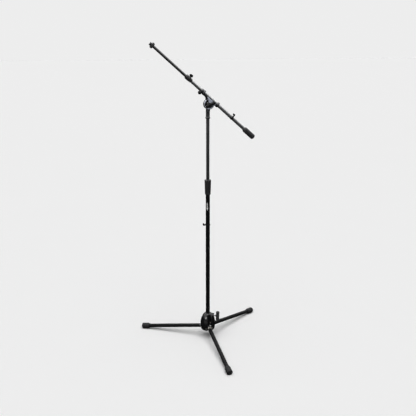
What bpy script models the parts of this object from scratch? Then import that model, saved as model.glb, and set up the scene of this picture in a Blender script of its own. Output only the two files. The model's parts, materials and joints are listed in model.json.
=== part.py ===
"""Boom microphone stand: folding tripod base, telescopic mast, swivelling clutch and telescopic boom.

Metres, +Z up.  The world origin is the centre of the mast's underside, on the mast's axis.
Heights in this file are measured from the floor, and the empty "stand" carries the difference.
"""
import bpy
import bmesh
from math import cos, pi, radians, sin, sqrt
from mathutils import Matrix, Vector

# ---------------------------------------------------------------- driving dimensions
GAP = 0.0003                      # working gap between separate pieces
SIDES = 20                        # sides of a round piece
FINE = 12                         # sides of a small round piece

MAST_FOOT = 0.0440                # height of the mast's underside above the floor
LOWER_R = 0.0105                  # lower mast tube, outside radius
UPPER_R = 0.0080                  # upper mast tube
BOOM_R = 0.0080                   # outer boom tube
INNER_R = 0.00635                 # inner boom tube
LEG_R = 0.0100                    # leg tube
WALL = 0.0012                     # wall of every tube

LOWER_TOP = 0.8460                # top of the lower mast tube, hidden in the grip
UPPER_FOOT = 0.4400               # lower end of the upper mast tube, inside the lower one
NECK_Z = 1.2020                   # lower edge of the clutch neck

HUB_TOP = 0.1435                  # top of the base housing
HUB_RIM = 0.0500                  # lower rim of the base housing
HUB_BELLY_Z = 0.0800              # height of the housing's widest ring
HUB_R = 0.0400                    # radius of that ring
HUB_CROWN = 0.0665                # height of the egg above its widest ring
HUB_ROUNDNESS = 2.25              # exponent of the egg's outline
HUB_CAVITY_R = 0.0245             # hollow under the housing
HUB_CAVITY_TOP = 0.1000
HUB_SLEEVE_R = 0.0205             # solid sleeve round the mast, inside the leg slots
SLOT_HALF = 0.0110                # half width of a leg slot

LEG_AZIMUTHS = (-90.0, 30.0, 150.0)
LEG_FALL = radians(8.06)          # slope of an opened leg below the horizontal
PIVOT_R = 0.0310                  # radius of the leg pivots
PIVOT_Z = 0.0616                  # height of the leg pivots
PIN_R = 0.0030
PIN_REACH = 0.0185                # from a leg's centre to the underside of a pin head
TOE_REACH = 0.0135                # from the pivot inwards to the toe's round tip
TOE_R = 0.0060
LEG_START = 0.0140                # the tube's two ends, measured along the leg from its pivot
LEG_END = 0.3445
FOOT_START = 0.3120
FOOT_END = 0.3555
FOOT_R = 0.0152

CLAMP_Z = 0.1305                  # screw that locks the housing on the mast
CLAMP_AZIMUTH = radians(-30.0)
CLAMP_END = 0.0335

GRIP_BOTTOM = 0.8160
GRIP_TOP = 0.8940
GRIP_FLUTES = 12
MAST_CLIP_Z = 0.6540

HINGE_Z = 1.2725                  # boom hinge
DISC_R = 0.0250
BOOM_TILT = radians(41.4)         # boom above the horizontal, tip towards -X
BOOM_SIDE = 0.0290                # boom axis in front of the mast's axis
BOOM_RISE = 0.0240                # boom axis above the hinge, square to the boom
CRADLE_FRONT = 0.0750             # stations along the boom, from the hinge towards the tip
CRADLE_FLANGE = 0.0550            # rear face of the front ring's flange
CRADLE_WAIST = -0.0275            # front face of the rear ring
CRADLE_REAR = -0.0365             # rear face of the rear ring
CRADLE_SCREW = 0.0680             # station of the thumb screw on the front ring
RING_R = 0.0128                   # flange of the front ring, and the rear ring
TROUGH_R = 0.0116
LINER_R = 0.0094                  # bushes inside the rings
TELE_FRONT = 0.1750
TELE_REAR = 0.1400
TELE_SCREW = 0.1550
BOOM_TUBE_REAR = -0.2420
INNER_REAR = -0.0150
FLANGE_REAR = 0.3755
FLANGE_FRONT = 0.3800
FLANGE_R = 0.0090
RING_FRONT = 0.3866               # front face of the knurled lock ring
STUD_FRONT = 0.3955
STUD_R = 0.0079
WEIGHT_FRONT = -0.2160
WEIGHT_REAR = -0.2850
WEIGHT_R = 0.0131                 # rubber sleeve of the counterweight
CORE_R = 0.0100                   # steel slug inside it
BOOM_CLIP_S = -0.1310
SCREW_LEAN_CRADLE = radians(117)  # thumb screws, turned from the boom's upper side to its back
SCREW_LEAN_TELE = radians(12)

# ---------------------------------------------------------------- looks: colour, roughness, metallic
LOOKS = {
    "gloss_black": ((0.010, 0.010, 0.012), 0.18, 0.0),
    "matt_black": ((0.020, 0.020, 0.022), 0.62, 0.0),
    "black_tube": ((0.030, 0.031, 0.033), 0.38, 0.0),
    "black_casting": ((0.024, 0.024, 0.027), 0.48, 0.0),
    "black_rubber": ((0.016, 0.016, 0.017), 0.80, 0.0),
    "zinc": ((0.420, 0.420, 0.400), 0.35, 1.0),
    "steel": ((0.330, 0.330, 0.340), 0.32, 1.0),
    "brass": ((0.560, 0.420, 0.190), 0.35, 1.0),
    "nylon": ((0.110, 0.110, 0.115), 0.55, 0.0),
    "fibre": ((0.150, 0.145, 0.140), 0.75, 0.0),
}


# ---------------------------------------------------------------- helpers
def clear_scene():
    for old in list(bpy.data.objects):
        bpy.data.objects.remove(old, do_unlink=True)


def frame(name, parent, origin, z_axis=(0, 0, 1), x_hint=(1, 0, 0)):
    """An empty at origin (in its parent's space) whose local Z points along z_axis."""
    z = Vector(z_axis).normalized()
    x = (Vector(x_hint) - z * z.dot(Vector(x_hint))).normalized()
    y = z.cross(x)
    turn = Matrix((x, y, z)).transposed().to_4x4()
    empty = bpy.data.objects.new(name, None)
    bpy.context.scene.collection.objects.link(empty)
    empty.empty_display_size = 0.02
    empty.parent = parent
    empty.matrix_local = Matrix.Translation(Vector(origin)) @ turn
    return empty


def material(name, look):
    colour, roughness, metallic = LOOKS[look]
    made = bpy.data.materials.new(name)
    made.use_nodes = True
    shader = made.node_tree.nodes["Principled BSDF"]
    shader.inputs["Base Color"].default_value = (*colour, 1.0)
    shader.inputs["Roughness"].default_value = roughness
    shader.inputs["Metallic"].default_value = metallic
    return made


def piece(name, bm, look, parent):
    """Turn a bmesh into a named object with its own material."""
    mesh = bpy.data.meshes.new(name)
    bmesh.ops.recalc_face_normals(bm, faces=bm.faces)
    bm.to_mesh(mesh)
    bm.free()
    mesh.shade_smooth()
    mesh.set_sharp_from_angle(angle=radians(35))
    made = bpy.data.objects.new(name, mesh)
    bpy.context.scene.collection.objects.link(made)
    made.parent = parent
    if look:
        mesh.materials.append(material(name, look))
    return made


def boolean(target, bm, operation, parent=None):
    """Add to, or cut from, the target with a hidden tool made from a bmesh."""
    tool = piece(target.name + "_tool", bm, None, parent or target.parent)
    tool.display_type = "WIRE"
    tool.hide_render = True
    step = target.modifiers.new(operation.lower(), "BOOLEAN")
    step.operation = operation
    step.object = tool
    step.solver = "EXACT"


def cut(target, bm, parent=None):
    boolean(target, bm, "DIFFERENCE", parent)


def fuse(target, bm, parent=None):
    boolean(target, bm, "UNION", parent)


def turned(outline, sides=SIDES, ring=False):
    """Spin (radius, height) points about Z; a ring's outline closes on itself, a solid gets caps."""
    bm = bmesh.new()
    points = [bm.verts.new((r, 0.0, z)) for r, z in outline]
    edges = [bm.edges.new(pair) for pair in zip(points, points[1:])]
    if ring:
        edges.append(bm.edges.new((points[-1], points[0])))
    bmesh.ops.spin(bm, geom=points + edges, axis=(0, 0, 1), cent=(0, 0, 0),
                   angle=2 * pi, steps=sides, use_merge=True)
    bmesh.ops.remove_doubles(bm, verts=bm.verts, dist=1e-6)
    if not ring:
        bmesh.ops.holes_fill(bm, edges=[e for e in bm.edges if e.is_boundary], sides=0)
    return bm


def rod(radius, z0, z1, sides=FINE):
    return turned([(radius, z1), (radius, z0)], sides)


def tube(outer, inner, z0, z1, sides=SIDES):
    return turned([(outer, z1), (outer, z0), (inner, z0), (inner, z1)], sides, ring=True)


def block(low, high):
    """A box between two corners."""
    bm = bmesh.new()
    bmesh.ops.create_cube(bm, size=1.0)
    low, high = Vector(low), Vector(high)
    bmesh.ops.scale(bm, vec=high - low, verts=bm.verts)
    bmesh.ops.translate(bm, vec=(low + high) / 2, verts=bm.verts)
    return bm


def gusset(outline, low, high):
    """A flat web between two heights of local Y; its outline is given as (Z, X) points."""
    bm = bmesh.new()
    near = [bm.verts.new((x, low, z)) for z, x in outline]
    far = [bm.verts.new((x, high, z)) for z, x in outline]
    bm.faces.new(near)
    bm.faces.new(far)
    for index, corner in enumerate(near):
        after = (index + 1) % len(near)
        bm.faces.new((corner, near[after], far[after], far[index]))
    return bm


def moved(bm, offset=(0, 0, 0), turn=None):
    """Rotate a bmesh by a matrix, then shift it."""
    if turn is not None:
        bmesh.ops.rotate(bm, cent=(0, 0, 0), matrix=turn, verts=bm.verts)
    bmesh.ops.translate(bm, vec=offset, verts=bm.verts)
    return bm


def merged(parts):
    """Several separate bmeshes as one tool."""
    whole = bmesh.new()
    for part in parts:
        holder = bpy.data.meshes.new("tool_part")
        part.to_mesh(holder)
        part.free()
        whole.from_mesh(holder)
        bpy.data.meshes.remove(holder)
    return whole


def fluted(bm, count, depth, low, high):
    """Press count shallow flutes into the outside between two heights."""
    outside = max(sqrt(v.co.x ** 2 + v.co.y ** 2) for v in bm.verts)
    for vert in bm.verts:
        radius = sqrt(vert.co.x ** 2 + vert.co.y ** 2)
        if low <= vert.co.z <= high and radius > 0.8 * outside:
            angle = Vector((vert.co.x, vert.co.y)).angle_signed(Vector((1.0, 0.0)))
            shrink = 1.0 - depth / radius * (0.5 - 0.5 * cos(count * angle))
            vert.co.x *= shrink
            vert.co.y *= shrink
    return bm


def bar(length, half_x, half_z, centre_z, swell=1.25):
    """A rounded handle bar along Y, thicker at its two ends, lying across the screw's axis."""
    bm = bmesh.new()
    half = length / 2
    stations = [(-1.0, 0.55), (-0.9, 0.92), (-0.7, 1.0), (-0.3, 0.80), (0.3, 0.80), (0.7, 1.0),
                (0.9, 0.92), (1.0, 0.55)]
    loops = []
    for along, scale in stations:
        size = scale * swell
        loop = []
        for step in range(FINE):
            angle = 2 * pi * step / FINE
            loop.append(bm.verts.new((half_x * size * cos(angle), half * along,
                                      centre_z + half_z * size * sin(angle))))
        loops.append(loop)
    for first, second in zip(loops, loops[1:]):
        for step in range(FINE):
            after = (step + 1) % FINE
            bm.faces.new((first[step], first[after], second[after], second[step]))
    bm.faces.new(reversed(loops[0]))
    bm.faces.new(loops[-1])
    return bm


# ---------------------------------------------------------------- base
def egg_radius(z):
    """Outside radius of the housing at a height."""
    if z < HUB_BELLY_Z:
        drop = (HUB_BELLY_Z - z) / (HUB_BELLY_Z - HUB_RIM)
        return HUB_R - 0.0045 * drop ** 2.2
    rise = (z - HUB_BELLY_Z) / HUB_CROWN
    return HUB_R * (1.0 - rise ** HUB_ROUNDNESS) ** (1.0 / HUB_ROUNDNESS)


def radial(azimuth):
    return Vector((cos(azimuth), sin(azimuth), 0.0))


def base_housing(stand, clamp):
    heights = (0.1400, 0.1340, 0.1240, 0.1110, 0.0950, 0.0780, 0.0620)
    outline = [(0.0145, HUB_TOP), (0.0165, HUB_TOP - 0.0008)]
    outline += [(egg_radius(z), z) for z in heights]
    outline += [(egg_radius(HUB_RIM) + 0.0006, HUB_RIM + 0.0025), (0.0345, HUB_RIM)]
    outline += [(HUB_CAVITY_R, HUB_RIM), (HUB_CAVITY_R, HUB_CAVITY_TOP)]
    bore = LOWER_R + GAP
    outline += [(bore, HUB_CAVITY_TOP), (bore, HUB_TOP)]
    housing = piece("base_housing", turned(outline, 24, ring=True), "gloss_black", stand)
    boss = [(0.0105, CLAMP_END), (0.0125, CLAMP_END - 0.0020), (0.0125, 0.0120)]
    fuse(housing, turned(boss, 16), clamp)
    slots = []
    pins = []
    for azimuth in LEG_AZIMUTHS:
        turn = Matrix.Rotation(radians(azimuth), 3, "Z")
        slots.append(moved(block((HUB_SLEEVE_R, -SLOT_HALF, 0.040), (0.060, SLOT_HALF, 0.160)),
                           turn=turn))
        profile = [(0.0048, 0.0300), (0.0048, PIN_REACH), (PIN_R + GAP / 2, PIN_REACH),
                   (PIN_R + GAP / 2, -PIN_REACH), (0.0048, -PIN_REACH), (0.0048, -0.0300)]
        hole = moved(turned(profile, FINE), turn=Matrix.Rotation(radians(90), 3, "X"))
        pins.append(moved(moved(hole, (PIVOT_R, 0.0, PIVOT_Z)), turn=turn))
    cut(housing, merged(slots))
    cut(housing, merged(pins))
    screw_way = [(0.0042, 0.0400), (0.0042, 0.0245), (0.0062, 0.0245), (0.0062, 0.0060)]
    cut(housing, turned(screw_way, FINE), clamp)


def leg_pin(number, leg):
    """Rivet through the housing and the leg root, along the leg frame's Y."""
    head = PIN_REACH + GAP
    profile = [(0.0030, head + 0.0018), (0.0042, head + 0.0008), (0.0042, head), (PIN_R, head),
               (PIN_R, -head), (0.0042, -head), (0.0042, -head - 0.0008),
               (0.0030, -head - 0.0018)]
    shape = moved(turned(profile, FINE), turn=Matrix.Rotation(radians(90), 3, "X"))
    piece(f"leg_{number}_pin", shape, "zinc", leg)


def leg_root(number, leg):
    """Cast knuckle: eye on the pin, spigot into the tube, toe resting on the mast collar."""
    shoulder = LEG_START - GAP
    profile = [(0.0060, 0.0460), (LEG_R - WALL - GAP, 0.0445), (LEG_R - WALL - GAP, shoulder),
               (0.0097, shoulder), (0.0097, 0.0085), (0.0080, 0.0030)]
    root = piece(f"leg_{number}_root", turned(profile, 16), "zinc", leg)
    across = Matrix.Rotation(radians(90), 3, "X")
    fuse(root, moved(rod(0.0082, -0.0090, 0.0090, 16), turn=across))
    level = Matrix.Rotation(-LEG_FALL, 3, "Y")
    tip = moved(rod(TOE_R, -0.0060, 0.0060, FINE), turn=across)
    fuse(root, moved(moved(tip, (0, 0, -TOE_REACH)), turn=level))
    fuse(root, moved(block((-0.0042, -0.0055, -TOE_REACH), (0.0042, 0.0055, -0.0010)), turn=level))
    cut(root, moved(rod(PIN_R + GAP / 2, -0.0200, 0.0200), turn=across))


def leg_tube(number, leg):
    piece(f"leg_{number}_tube", tube(LEG_R, LEG_R - WALL, LEG_START, LEG_END), "black_tube", leg)


def leg_foot(number, leg, stand):
    """Rubber foot with its sole cut level with the floor."""
    bore = LEG_R + GAP
    profile = [(0.0128, FOOT_END), (FOOT_R, FOOT_END - 0.0030), (FOOT_R, FOOT_START + 0.0080),
               (0.0138, FOOT_START + 0.0040), (0.0120, FOOT_START), (bore, FOOT_START),
               (bore, LEG_END + GAP)]
    foot = piece(f"leg_{number}_foot", turned(profile), "black_rubber", leg)
    cut(foot, block((-0.6, -0.6, -0.05), (0.6, 0.6, 0.0)), stand)


def leg(number, azimuth, stand):
    out = radial(azimuth)
    down_leg = out * cos(LEG_FALL) - Vector((0, 0, sin(LEG_FALL)))
    place = frame(f"leg_{number}", stand, out * PIVOT_R + Vector((0, 0, PIVOT_Z)), down_leg, (0, 0, 1))
    leg_pin(number, place)
    leg_root(number, place)
    leg_tube(number, place)
    leg_foot(number, place, stand)


def base_clamp(clamp):
    """Shoe and T-handled screw that lock the housing on the mast; local Z points outwards."""
    shoe = turned([(0.0060, 0.0180), (0.0060, LOWER_R + 3 * GAP)], FINE)
    piece("base_clamp_shoe", shoe, "brass", clamp)
    stem = [(0.0030, 0.0640), (0.0085, 0.0625), (0.0085, 0.0480), (0.0060, 0.0460),
            (0.0039, 0.0455), (0.0039, 0.0183)]
    knob = piece("base_clamp_knob", turned(stem, FINE), "matt_black", clamp)
    handle_turn = Matrix.Rotation(radians(82), 3, "Z")
    fuse(knob, moved(bar(0.0520, 0.0074, 0.0074, 0.0555), turn=handle_turn))


# ---------------------------------------------------------------- mast
def shaft_foot(stand):
    collar_top = PIVOT_Z - TOE_R - 2 * GAP
    collar = [(0.0165, collar_top), (0.0190, collar_top - 0.0015), (0.0190, 0.0482),
              (0.0182, 0.0475), (LOWER_R + GAP, 0.0475), (LOWER_R + GAP, collar_top)]
    piece("shaft_foot_collar", turned(collar, ring=True), "zinc", stand)
    stem = LOWER_R - WALL - GAP
    plug = [(stem - 0.0010, 0.0700), (stem, 0.0690), (stem, 0.0472), (0.0175, 0.0472),
            (0.0180, 0.0466), (0.0180, MAST_FOOT + 0.0008), (0.0172, MAST_FOOT)]
    piece("shaft_foot_plug", turned(plug), "black_rubber", stand)


def lower_mast(stand):
    piece("lower_tube", tube(LOWER_R, LOWER_R - WALL, 0.0475, LOWER_TOP), "black_tube", stand)
    bush = [(0.0120, 0.8560), (0.0126, 0.8550), (0.0126, 0.8240), (LOWER_R + GAP, 0.8240),
            (LOWER_R + GAP, LOWER_TOP + GAP), (0.0088, LOWER_TOP + GAP), (0.0088, 0.8560)]
    piece("mast_threaded_bush", turned(bush, ring=True), "zinc", stand)
    collet = [(0.0098, 0.8820), (0.0112, 0.8720), (0.0112, 0.8565), (0.0084, 0.8565),
              (0.0084, 0.8820)]
    split = piece("mast_collet", turned(collet, ring=True), "nylon", stand)
    cut(split, block((0.0, -0.0008, 0.850), (0.020, 0.0008, 0.890)))


def mast_grip(stand):
    low_z, high_z = GRIP_BOTTOM + 0.0050, GRIP_TOP - 0.0040
    mid_z = (low_z + high_z) / 2
    outline = [(0.0145, GRIP_TOP), (0.0163, GRIP_TOP - 0.0030), (0.0163, high_z), (0.0156, mid_z),
               (0.0148, low_z), (0.0135, GRIP_BOTTOM + 0.0008), (0.0128, GRIP_BOTTOM),
               (LOWER_R + GAP, GRIP_BOTTOM), (LOWER_R + GAP, 0.8235),
               (0.0130, 0.8235), (0.0130, 0.8570), (0.0116, 0.8600), (0.0116, 0.8850),
               (UPPER_R + GAP, 0.8850), (UPPER_R + GAP, GRIP_TOP)]
    shape = turned(outline, 2 * GRIP_FLUTES, ring=True)
    fluted(shape, GRIP_FLUTES, 0.0010, low_z + 0.001, high_z - 0.001)
    piece("mast_grip", shape, "matt_black", stand)


def cable_clip(name, parent, tube_radius, station, lean, reach):
    """Snap ring round a tube with a small open hook on one side."""
    place = frame(name + "_frame", parent, (0, 0, station), x_hint=(cos(lean), sin(lean), 0))
    inner = tube_radius + GAP / 2
    outer = inner + 0.0018
    half = 0.0038
    clip = piece(name, tube(outer, inner, -half, half, 24), "matt_black", place)
    fuse(clip, block((inner + 0.0009, -0.0030, -half), (reach, 0.0030, -half + 0.0034)))
    fuse(clip, block((reach - 0.0030, -0.0032, -half + 0.0010), (reach + 0.0002, 0.0032, half + 0.0035)))


def upper_mast(stand):
    bush = [(0.0060, 0.4600), (0.0066, 0.4590), (0.0066, UPPER_FOOT - GAP), (0.0091, UPPER_FOOT - GAP),
            (0.0091, 0.4160), (0.0084, 0.4150)]
    piece("mast_slide_bush", turned(bush), "nylon", stand)
    piece("upper_tube", tube(UPPER_R, UPPER_R - WALL, UPPER_FOOT, 1.2230), "black_tube", stand)


def clutch(stand, hinge):
    """Neck with the fixed disc, bolt, friction washer, pressure washer and T-handle."""
    neck = [(0.0085, 1.2520), (0.0096, 1.2480), (0.0096, NECK_Z + 0.0070), (0.0112, NECK_Z + 0.0052),
            (0.0120, NECK_Z + 0.0045), (0.0120, NECK_Z), (UPPER_R + GAP, NECK_Z),
            (UPPER_R + GAP, 1.2235)]
    body = piece("clutch_neck", turned(neck), "black_casting", stand)
    disc = [(DISC_R - 0.0010, 0.0125), (DISC_R, 0.0115), (DISC_R, 0.0035), (DISC_R - 0.0020, 0.0018)]
    fuse(body, turned(disc, 24), hinge)
    fuse(body, block((-0.0100, -0.0340, 0.0022), (0.0100, -0.0120, 0.0100)), hinge)
    cut(body, rod(0.0042, -0.0200, 0.0200), hinge)
    bolt = [(0.0038, 0.0395), (0.0040, 0.0390), (0.0040, 0.0015), (0.0078, 0.0015),
            (0.0078, -0.0030), (0.0060, -0.0044)]
    piece("clutch_bolt", turned(bolt, FINE), "zinc", hinge)
    piece("friction_washer", tube(DISC_R - 0.0006, 0.0045, 0.0128, 0.0147), "fibre", hinge)
    piece("clutch_pressure_washer", tube(0.0098, 0.0043, 0.0253, 0.0270), "zinc", hinge)
    boss = [(0.0060, 0.0575), (0.0088, 0.0560), (0.0095, 0.0440), (0.0095, 0.0290), (0.0085, 0.0273),
            (0.0043, 0.0273), (0.0043, 0.0420)]
    knob = piece("clutch_knob", turned(boss, 18), "matt_black", hinge)
    fuse(knob, moved(bar(0.0520, 0.0058, 0.0054, 0.0500), turn=Matrix.Rotation(radians(-67), 3, "Z")))


# ---------------------------------------------------------------- boom
def boom_cradle(hinge, boom):
    """Two rings and a trough under the boom, cast with the moving disc of the hinge."""
    disc = [(DISC_R - 0.0015, 0.0250), (DISC_R, 0.0240), (DISC_R, 0.0160), (DISC_R - 0.0008, 0.0150)]
    body = piece("boom_cradle", turned(disc, 24), "black_casting", hinge)
    sleeve = [(0.0106, CRADLE_FRONT), (0.0112, CRADLE_FRONT - 0.0008), (0.0112, 0.0622), (RING_R, 0.0612),
              (RING_R, CRADLE_FLANGE + 0.0006), (TROUGH_R, CRADLE_FLANGE), (TROUGH_R, CRADLE_WAIST),
              (RING_R, CRADLE_WAIST - 0.0006), (RING_R, CRADLE_REAR + 0.0010),
              (RING_R - 0.0008, CRADLE_REAR)]
    fuse(body, turned(sleeve), boom)
    webs = [(0.0400, -0.0080), (0.0240, -0.0200), (0.0160, -0.0400), (-0.0120, -0.0400),
            (-0.0280, -0.0080)]
    fuse(body, gusset(webs, 0.0045, 0.0120), boom)
    socket = frame("cradle_screw_frame", boom, (0, 0, CRADLE_SCREW),
                   (cos(SCREW_LEAN_CRADLE), sin(SCREW_LEAN_CRADLE), 0), (0, 0, 1))
    fuse(body, turned([(0.0050, 0.0175), (0.0058, 0.0165), (0.0058, 0.0020)], FINE), socket)
    cut(body, rod(LINER_R + GAP, CRADLE_REAR - 0.01, CRADLE_FRONT + 0.01, SIDES), boom)
    cut(body, block((-0.0040, -0.0200, CRADLE_WAIST), (0.0300, 0.0200, CRADLE_FLANGE)), boom)
    cut(body, turned([(0.0023, 0.0300), (0.0023, 0.0150), (0.0034, 0.0150), (0.0034, 0.0030)], FINE),
        socket)
    cut(body, rod(0.0042, 0.0100, 0.0300), hinge)
    return socket


def boom_bushes(boom, socket):
    """Nylon liners inside the two cradle rings; the front one has a window for the clamp pad."""
    stations = {"boom_bush_front": (CRADLE_FRONT - 0.0140, CRADLE_FRONT - 0.0005),
                "boom_bush_rear": (CRADLE_REAR + 0.0005, CRADLE_WAIST - 0.0005)}
    for name, (rear, front) in stations.items():
        liner = tube(LINER_R, BOOM_R + GAP / 2, rear, front, 24)
        made = piece(name, liner, "nylon", boom)
        if name == "boom_bush_front":
            cut(made, rod(0.0034, 0.0030, 0.0150), socket)


def thumb_screw(prefix, place, touch, shank_start, knob_start):
    """Clamp pad and small knurled thumb screw; local Z points away from the tube."""
    pad = turned([(0.0031, shank_start - GAP), (0.0031, touch + 2 * GAP)], FINE)
    piece(f"{prefix}_clamp_pad", pad, "brass", place)
    outline = [(0.0060, knob_start + 0.0100), (0.0084, knob_start + 0.0086),
               (0.0088, knob_start + 0.0060), (0.0084, knob_start + 0.0018),
               (0.0060, knob_start), (0.0021, knob_start), (0.0021, shank_start)]
    shape = fluted(turned(outline), 10, 0.0007, knob_start + 0.0010, knob_start + 0.0090)
    piece(f"{prefix}_thumb_screw", shape, "matt_black", place)


def tele_clutch(boom):
    """Housing that joins the two boom tubes, and its screw."""
    step = 0.1500
    outline = [(0.0090, TELE_FRONT), (0.0108, TELE_FRONT - 0.0015), (0.0112, TELE_FRONT - 0.0050),
               (0.0110, step + 0.0020), (0.0094, TELE_REAR + 0.0030), (0.0092, TELE_REAR),
               (BOOM_R + GAP, TELE_REAR), (BOOM_R + GAP, step + GAP), (INNER_R + GAP, step + GAP),
               (INNER_R + GAP, TELE_FRONT)]
    housing = piece("tele_clutch_housing", turned(outline, ring=True), "matt_black", boom)
    place = frame("tele_screw_frame", boom, (0, 0, TELE_SCREW),
                  (cos(SCREW_LEAN_TELE), sin(SCREW_LEAN_TELE), 0), (0, 0, 1))
    fuse(housing, turned([(0.0046, 0.0140), (0.0052, 0.0132), (0.0052, 0.0080)], FINE), place)
    cut(housing, turned([(0.0023, 0.0200), (0.0023, 0.0125), (0.0034, 0.0125), (0.0034, 0.0040)], FINE),
        place)
    thumb_screw("tele", place, INNER_R, 0.0105, 0.0146)


def boom_tubes(boom):
    piece("boom_outer_tube", tube(BOOM_R, BOOM_R - WALL, BOOM_TUBE_REAR, 0.1500), "black_tube", boom)
    bush = [(0.0046, INNER_REAR + 0.0150), (0.0050, INNER_REAR + 0.0140), (0.0050, INNER_REAR - GAP),
            (0.0066, INNER_REAR - GAP), (0.0066, INNER_REAR - 0.0140), (0.0060, INNER_REAR - 0.0150)]
    piece("boom_inner_bush", turned(bush), "nylon", boom)
    inner = tube(INNER_R, INNER_R - 0.0010, INNER_REAR, FLANGE_REAR - GAP, 24)
    piece("boom_inner_tube", inner, "black_tube", boom)


def boom_tip(boom):
    """Threaded microphone stud with its flange, and the knurled lock ring."""
    stem = INNER_R - 0.0010 - GAP
    stud = [(STUD_R - 0.0011, STUD_FRONT), (STUD_R, STUD_FRONT - 0.0010), (STUD_R, FLANGE_FRONT + 0.0010),
            (FLANGE_R, FLANGE_FRONT - 0.0020), (FLANGE_R, FLANGE_REAR), (stem, FLANGE_REAR),
            (stem, FLANGE_REAR - 0.0200), (stem - 0.0008, FLANGE_REAR - 0.0210)]
    piece("tip_thread_stud", turned(stud), "steel", boom)
    low, high = FLANGE_REAR - 0.0004, RING_FRONT
    ring = [(0.0124, high), (0.0135, high - 0.0010), (0.0135, low + 0.0010), (0.0124, low),
            (FLANGE_R + GAP, low), (FLANGE_R + GAP, FLANGE_FRONT + 0.0010),
            (STUD_R + GAP, FLANGE_FRONT + 0.0014), (STUD_R + GAP, high)]
    shape = fluted(turned(ring, 24, ring=True), 12, 0.0008, low - 0.001, high + 0.001)
    piece("tip_lock_ring", shape, "matt_black", boom)


def counterweight(boom):
    """Steel slug in the boom's end, rubber sleeve over both."""
    core = [(0.0055, WEIGHT_FRONT - 0.0030), (0.0065, WEIGHT_FRONT - 0.0040),
            (0.0065, BOOM_TUBE_REAR - GAP), (CORE_R, BOOM_TUBE_REAR - GAP),
            (CORE_R, WEIGHT_REAR + 0.0060), (CORE_R - 0.0010, WEIGHT_REAR + 0.0050)]
    piece("counterweight_core", turned(core), "steel", boom)
    tube_bore = BOOM_R + GAP
    core_bore = CORE_R + GAP
    rounding = 0.0066
    sleeve = [(0.0096, WEIGHT_FRONT), (WEIGHT_R, WEIGHT_FRONT - 0.0060), (WEIGHT_R, WEIGHT_REAR + rounding)]
    for step in range(1, 6):
        angle = radians(90) * step / 5
        sleeve.append((WEIGHT_R - rounding * (1.0 - cos(angle)),
                       WEIGHT_REAR + rounding * (1.0 - sin(angle))))
    body = piece("counterweight_sleeve", turned(sleeve), "black_rubber", boom)
    bore = [(tube_bore, WEIGHT_FRONT + 0.0100), (tube_bore, BOOM_TUBE_REAR + GAP),
            (core_bore, BOOM_TUBE_REAR + GAP), (core_bore, WEIGHT_REAR + 0.0050)]
    cut(body, turned(bore))


def boom_frame(stand, hinge_height):
    """Empty on the boom's axis at the hinge: Z to the tip, X to the boom's upper side, Y to the back."""
    along = Vector((-cos(BOOM_TILT), 0.0, sin(BOOM_TILT)))
    above = Vector((sin(BOOM_TILT), 0.0, cos(BOOM_TILT)))
    origin = Vector((0.0, -BOOM_SIDE, hinge_height)) + above * BOOM_RISE
    return frame("boom", stand, origin, along, above)


def build():
    clear_scene()
    stand = frame("stand", None, (0, 0, -MAST_FOOT))
    out = radial(CLAMP_AZIMUTH)
    clamp = frame("clamp", stand, (0, 0, CLAMP_Z), out, (0, 0, 1))
    base_housing(stand, clamp)
    base_clamp(clamp)
    for number, azimuth in enumerate(LEG_AZIMUTHS, start=1):
        leg(number, radians(azimuth), stand)
    shaft_foot(stand)
    lower_mast(stand)
    mast_grip(stand)
    cable_clip("mast_cable_clip", stand, LOWER_R, MAST_CLIP_Z, radians(176), 0.0250)
    upper_mast(stand)
    hinge = frame("hinge", stand, (0, 0, HINGE_Z), (0, -1, 0), (1, 0, 0))
    clutch(stand, hinge)
    boom = boom_frame(stand, HINGE_Z)
    socket = boom_cradle(hinge, boom)
    boom_bushes(boom, socket)
    thumb_screw("cradle", socket, BOOM_R, 0.0125, 0.0195)
    boom_tubes(boom)
    tele_clutch(boom)
    boom_tip(boom)
    counterweight(boom)
    cable_clip("boom_cable_clip", boom, BOOM_R, BOOM_CLIP_S, 0.0, 0.0215)


build()
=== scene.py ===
"""Looks of the boom microphone stand: fine surfaces, materials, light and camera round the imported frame.

Metres.  Every shape is made in the local frame of its own part of the stand: heights above the floor on
the mast, distances along a leg, along the boom or along a screw, all taken from the frame's joints.
"""
import bpy
import bmesh
import json
from math import cos, hypot, pi, radians, sin, sqrt
from mathutils import Matrix, Vector

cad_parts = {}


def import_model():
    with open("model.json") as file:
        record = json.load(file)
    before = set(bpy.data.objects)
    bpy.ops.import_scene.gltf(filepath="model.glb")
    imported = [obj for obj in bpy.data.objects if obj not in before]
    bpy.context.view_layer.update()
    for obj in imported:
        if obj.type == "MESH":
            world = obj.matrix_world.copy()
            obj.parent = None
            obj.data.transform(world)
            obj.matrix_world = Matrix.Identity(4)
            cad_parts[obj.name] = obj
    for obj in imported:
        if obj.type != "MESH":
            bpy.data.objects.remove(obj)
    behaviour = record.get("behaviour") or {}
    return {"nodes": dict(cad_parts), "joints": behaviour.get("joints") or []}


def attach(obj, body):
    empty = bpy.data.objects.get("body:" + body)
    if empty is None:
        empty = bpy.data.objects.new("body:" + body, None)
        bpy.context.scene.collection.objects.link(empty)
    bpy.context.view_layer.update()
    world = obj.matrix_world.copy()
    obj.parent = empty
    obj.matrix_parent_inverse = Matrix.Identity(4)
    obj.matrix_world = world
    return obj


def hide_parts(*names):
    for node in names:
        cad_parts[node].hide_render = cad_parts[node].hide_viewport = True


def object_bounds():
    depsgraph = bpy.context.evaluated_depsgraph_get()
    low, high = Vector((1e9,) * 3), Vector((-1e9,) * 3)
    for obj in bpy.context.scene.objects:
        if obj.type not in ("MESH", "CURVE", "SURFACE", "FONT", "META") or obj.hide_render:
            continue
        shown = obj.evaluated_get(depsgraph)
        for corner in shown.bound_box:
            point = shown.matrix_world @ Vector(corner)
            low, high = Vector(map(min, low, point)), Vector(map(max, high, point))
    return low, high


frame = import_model()
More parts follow.
